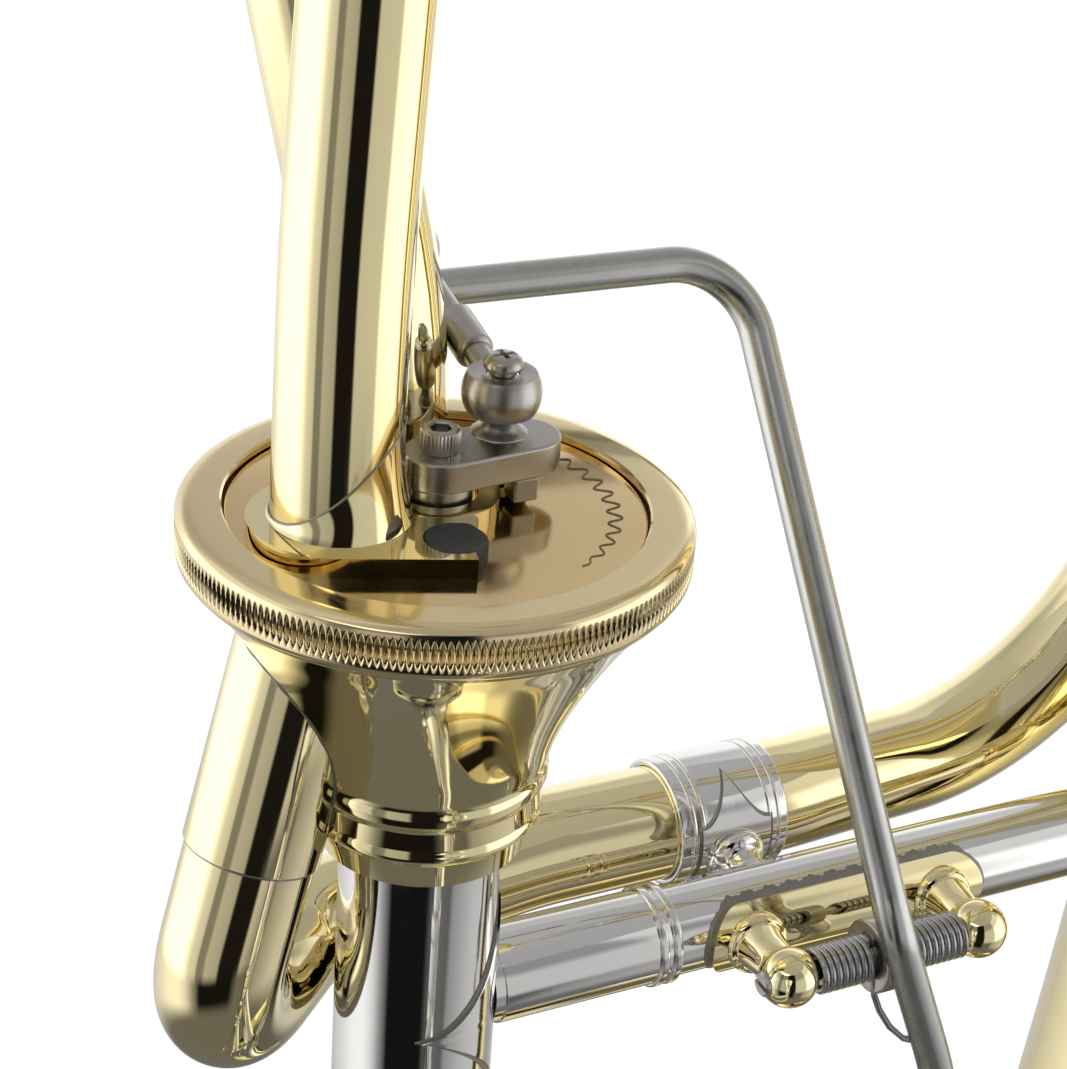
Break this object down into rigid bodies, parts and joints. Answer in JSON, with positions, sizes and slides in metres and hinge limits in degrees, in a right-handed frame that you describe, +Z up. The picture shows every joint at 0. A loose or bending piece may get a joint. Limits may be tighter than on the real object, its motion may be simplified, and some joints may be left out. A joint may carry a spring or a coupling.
{
  "type": "trombone",
  "caption": "Tenor trombone with an F attachment, a conical axial-flow rotary valve, thumb trigger, telescoping hand slide and tuning slides.",
  "frame": {"origin": "centre of the bell's rim plane, where the bell stands over a stand's cone", "axes": "+Z up, from the bell's rim towards the tuning slides; +X from the hand slide towards the bell; -Y towards the mouthpiece"},
  "size_m": [0.2722, 0.216, 1.1878],
  "materials": {
    "lacquered_brass": "polished and lacquered",
    "brass_solid": "polished and lacquered, turned",
    "nickel_silver": "polished",
    "satin_steel": "bead blasted",
    "spring_steel": "dark",
    "silver_plate": "polished",
    "bronze_bush": "plain turned",
    "black_rubber": "matt",
    "cork": "plain"
  },
  "bodies": {
    "instrument": {"bell": "lacquered_brass", "bell_foot": "lacquered_brass", "slide_receiver": "nickel_silver", "receiver_flange": "nickel_silver", "crossbar": "nickel_silver", "crossbar_sleeve": "nickel_silver", "main_tube": "lacquered_brass", "loop_out_tube": "lacquered_brass", "side_tube": "lacquered_brass", "return_crook": "lacquered_brass", "return_ferrule": "nickel_silver", "loop_bend": "lacquered_brass", "return_post": "nickel_silver", "valve_casing": "brass_solid", "valve_ring": "brass_solid", "valve_plate": "brass_solid", "rotor_bearings": "bronze_bush", "stop_bracket": "brass_solid", "rubber_stops": "black_rubber", "hinge_saddle": "lacquered_brass", "hinge_screw": "satin_steel", "main_slide_sleeves": "nickel_silver", "loop_slide_sleeves": "nickel_silver", "body_braces": "nickel_silver", "slide_tenon": "nickel_silver", "inner_tubes": "nickel_silver", "leadpipe": "lacquered_brass", "cork_barrels": "nickel_silver", "upper_grip": "nickel_silver", "mouthpiece_receiver": "nickel_silver"},
    "rotor": {"rotor": "brass_solid", "rotor_spindle": "satin_steel", "lever_arm": "satin_steel", "arm_screw": "satin_steel", "ball_stud": "satin_steel"},
    "link_ball": {"link_ball": "satin_steel"},
    "link": {"link_rod": "satin_steel"},
    "trigger": {"trigger_hub": "lacquered_brass", "trigger_lever": "satin_steel", "thumb_paddle": "nickel_silver", "trigger_springs": "spring_steel"},
    "main_slide": {"main_slide_legs": "nickel_silver", "main_slide_ferrules": "nickel_silver", "main_slide_bow": "lacquered_brass", "main_slide_brace": "nickel_silver"},
    "loop_slide": {"loop_slide_legs": "nickel_silver", "loop_slide_ferrules": "nickel_silver", "loop_slide_bow": "lacquered_brass", "loop_slide_brace": "nickel_silver"},
    "lock_nut": {"lock_nut": "nickel_silver"},
    "slide_lock": {"slide_lock": "nickel_silver"},
    "mouthpiece": {"mouthpiece": "silver_plate"},
    "outer_slide": {"outer_tubes": "lacquered_brass", "lower_grip": "nickel_silver", "slide_bow": "lacquered_brass", "bow_sleeves": "nickel_silver", "slide_bumper": "black_rubber", "key_posts": "nickel_silver"},
    "water_key": {"key_lever": "nickel_silver", "key_cork": "cork"}
  },
  "joints": [
    {"name": "trigger_press", "type": "hinge", "parent": "instrument", "child": "trigger", "pos_m": [-0.07, -0.0166, 0.266], "axis": [1, 0, 0], "range_deg": [0, 6.86], "stiffness_Nm_per_rad": 0.3, "springref_deg": -18.91},
    {"name": "rotor_turn", "type": "hinge", "parent": "instrument", "child": "rotor", "pos_m": [-0.13, 0, 0.335], "axis": [0, 0, 1], "range_deg": [-62.1, 0]},
    {"name": "link_swivel", "type": "hinge", "parent": "rotor", "child": "link_ball", "pos_m": [-0.1214, 0.0024, 0.3466], "axis": [0, 0, 1], "range_deg": [0, 58.8]},
    {"name": "link_tilt", "type": "hinge", "parent": "link_ball", "child": "link", "pos_m": [-0.1214, 0.0024, 0.3466], "axis": [1, -0.0069, 0], "range_deg": [0, 10.6]},
    {"name": "slide_extend", "type": "slide", "parent": "instrument", "child": "outer_slide", "axis": [0, 0, -1], "range_m": [0, 0.6]},
    {"name": "slide_lock_turn", "type": "hinge", "parent": "instrument", "child": "slide_lock", "pos_m": [-0.13, -0.088, 0.161], "axis": [0, 0, 1], "range_deg": [0, 25]},
    {"name": "lock_nut_turn", "type": "hinge", "parent": "instrument", "child": "lock_nut", "pos_m": [-0.13, 0, 0.232], "axis": [0, 0, 1], "range_deg": [0, 360]},
    {"name": "main_slide_pull", "type": "slide", "parent": "instrument", "child": "main_slide", "axis": [0, 0, 1], "range_m": [0, 0.06]},
    {"name": "loop_slide_pull", "type": "slide", "parent": "instrument", "child": "loop_slide", "axis": [0, 0, 1], "range_m": [0, 0.06]},
    {"name": "water_key_press", "type": "hinge", "parent": "outer_slide", "child": "water_key", "pos_m": [-0.1429, -0.00988, -0.51211], "axis": [0, 0.5, -0.866], "range_deg": [0, 18], "stiffness_Nm_per_rad": 0.01, "springref_deg": -28.65},
    {"name": "mouthpiece_pull", "type": "slide", "parent": "instrument", "child": "mouthpiece", "axis": [0, 0, 1], "range_m": [0, 0.025]}
  ],
  "couplings": [
    {"joint": "rotor_turn", "follows": "trigger_press", "ratio": -9.0395},
    {"joint": "link_swivel", "follows": "trigger_press", "ratio": 8.5573},
    {"joint": "link_tilt", "follows": "trigger_press", "ratio": 1.5336}
  ]
}
